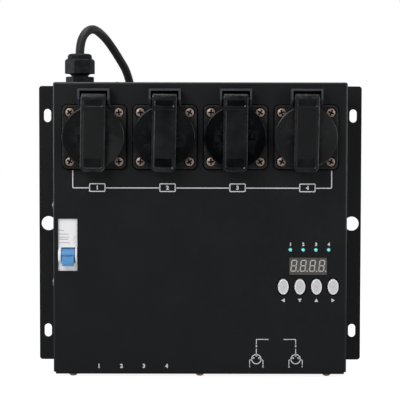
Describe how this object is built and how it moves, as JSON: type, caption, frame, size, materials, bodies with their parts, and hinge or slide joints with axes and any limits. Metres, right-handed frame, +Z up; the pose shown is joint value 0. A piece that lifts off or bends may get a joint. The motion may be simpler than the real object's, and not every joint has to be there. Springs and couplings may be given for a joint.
{
  "type": "dimmer pack",
  "caption": "Wall or truss mounted lighting dimmer pack in a black steel box, with lidded mains sockets, breaker, display, buttons and mains lead.",
  "frame": {"origin": "on the surface the box stands on, under the middle of the box with its ears and lids, measured without the mains lead", "axes": "+X to the right seen from the front, +Y from the front panel to the back plate, +Z up"},
  "size_m": [0.2664, 0.2138, 0.2779],
  "materials": {
    "powder_coat": "satin black powder coat, fine texture",
    "socket_plastic": "moulded black plastic",
    "lid_plastic": "glossy black moulded plastic",
    "zinc_steel": "zinc plated",
    "bronze_steel": "bronze tinted plating",
    "breaker_white": "white moulded plastic",
    "toggle_blue": "blue moulded plastic",
    "button_silver": "silver painted plastic",
    "lamp_lens": "teal tinted lens",
    "display_face": "grey display face",
    "circuit_board": "green solder mask",
    "fuse_plastic": "moulded black plastic",
    "connector_metal": "satin nickel",
    "gland_plastic": "black moulded polyamide",
    "copper_winding": "enamelled copper",
    "core_steel": "laminated core",
    "heatsink_metal": "extruded",
    "terminal_plastic": "natural polyamide",
    "cord_rubber": "black rubber sheath"
  },
  "bodies": {
    "box": {"base_chassis": "powder_coat", "front_cover": "powder_coat", "socket_body_1": "socket_plastic", "socket_body_2": "socket_plastic", "socket_body_3": "socket_plastic", "socket_body_4": "socket_plastic", "lid_pin_1": "zinc_steel", "lid_pin_2": "zinc_steel", "lid_pin_3": "zinc_steel", "lid_pin_4": "zinc_steel", "breaker_body": "breaker_white", "breaker_bracket": "zinc_steel", "bracket_screw_1": "zinc_steel", "bracket_screw_2": "zinc_steel", "control_board": "circuit_board", "display_module": "display_face", "channel_lamp_1": "lamp_lens", "channel_lamp_2": "lamp_lens", "channel_lamp_3": "lamp_lens", "channel_lamp_4": "lamp_lens", "cover_screw_1": "bronze_steel", "cover_screw_2": "bronze_steel", "cover_screw_3": "bronze_steel", "fuse_holder_1": "fuse_plastic", "fuse_holder_2": "fuse_plastic", "fuse_holder_3": "fuse_plastic", "fuse_holder_4": "fuse_plastic", "connector_in": "connector_metal", "connector_out": "connector_metal", "gland_seal": "gland_plastic", "gland_body": "gland_plastic", "gland_cap_nut": "gland_plastic", "gland_locknut": "gland_plastic", "earth_screw": "zinc_steel", "power_board": "circuit_board", "transformer": "core_steel", "heatsink": "heatsink_metal", "terminal_block": "terminal_plastic", "choke_1": "copper_winding", "choke_2": "copper_winding", "choke_3": "copper_winding", "choke_4": "copper_winding", "inner_lead": "cord_rubber", "mains_cord": "cord_rubber", "cord_coil": "cord_rubber", "mains_plug": "cord_rubber"},
    "lid_1": {"socket_lid_1": "lid_plastic"},
    "lid_2": {"socket_lid_2": "lid_plastic"},
    "lid_3": {"socket_lid_3": "lid_plastic"},
    "lid_4": {"socket_lid_4": "lid_plastic"},
    "toggle": {"breaker_toggle": "toggle_blue"},
    "button_1": {"push_button_1": "button_silver"},
    "button_2": {"push_button_2": "button_silver"},
    "button_3": {"push_button_3": "button_silver"},
    "button_4": {"push_button_4": "button_silver"},
    "carrier_1": {"fuse_carrier_1": "fuse_plastic"},
    "carrier_2": {"fuse_carrier_2": "fuse_plastic"},
    "carrier_3": {"fuse_carrier_3": "fuse_plastic"},
    "carrier_4": {"fuse_carrier_4": "fuse_plastic"},
    "latch": {"connector_latch": "connector_metal"}
  },
  "joints": [
    {"name": "lid_1_hinge", "type": "hinge", "parent": "box", "child": "lid_1", "pos_m": [-0.08175, -0.041, 0.2164], "axis": [-1, 0, 0], "range_deg": [0, 105], "stiffness_Nm_per_rad": 0.02, "springref_deg": -22.92},
    {"name": "lid_2_hinge", "type": "hinge", "parent": "box", "child": "lid_2", "pos_m": [-0.02725, -0.041, 0.2164], "axis": [-1, 0, 0], "range_deg": [0, 105], "stiffness_Nm_per_rad": 0.02, "springref_deg": -22.92},
    {"name": "lid_3_hinge", "type": "hinge", "parent": "box", "child": "lid_3", "pos_m": [0.02725, -0.041, 0.2164], "axis": [-1, 0, 0], "range_deg": [0, 105], "stiffness_Nm_per_rad": 0.02, "springref_deg": -22.92},
    {"name": "lid_4_hinge", "type": "hinge", "parent": "box", "child": "lid_4", "pos_m": [0.08175, -0.041, 0.2164], "axis": [-1, 0, 0], "range_deg": [0, 105], "stiffness_Nm_per_rad": 0.02, "springref_deg": -22.92},
    {"name": "breaker_switch", "type": "hinge", "parent": "box", "child": "toggle", "pos_m": [-0.1027, -0.0274, 0.0952], "axis": [-1, 0, 0], "range_deg": [0, 76]},
    {"name": "button_1_press", "type": "slide", "parent": "box", "child": "button_1", "axis": [0, 1, 0], "range_m": [0, 0.0006], "stiffness_N_per_m": 1500},
    {"name": "button_2_press", "type": "slide", "parent": "box", "child": "button_2", "axis": [0, 1, 0], "range_m": [0, 0.0006], "stiffness_N_per_m": 1500},
    {"name": "button_3_press", "type": "slide", "parent": "box", "child": "button_3", "axis": [0, 1, 0], "range_m": [0, 0.0006], "stiffness_N_per_m": 1500},
    {"name": "button_4_press", "type": "slide", "parent": "box", "child": "button_4", "axis": [0, 1, 0], "range_m": [0, 0.0006], "stiffness_N_per_m": 1500},
    {"name": "carrier_1_draw", "type": "slide", "parent": "box", "child": "carrier_1", "axis": [0, 0, -1], "range_m": [0, 0.036]},
    {"name": "carrier_2_draw", "type": "slide", "parent": "box", "child": "carrier_2", "axis": [0, 0, -1], "range_m": [0, 0.036]},
    {"name": "carrier_3_draw", "type": "slide", "parent": "box", "child": "carrier_3", "axis": [0, 0, -1], "range_m": [0, 0.036]},
    {"name": "carrier_4_draw", "type": "slide", "parent": "box", "child": "carrier_4", "axis": [0, 0, -1], "range_m": [0, 0.036]},
    {"name": "latch_press", "type": "slide", "parent": "box", "child": "latch", "axis": [0, 0, 1], "range_m": [0, 0.0012], "stiffness_N_per_m": 800}
  ]
}
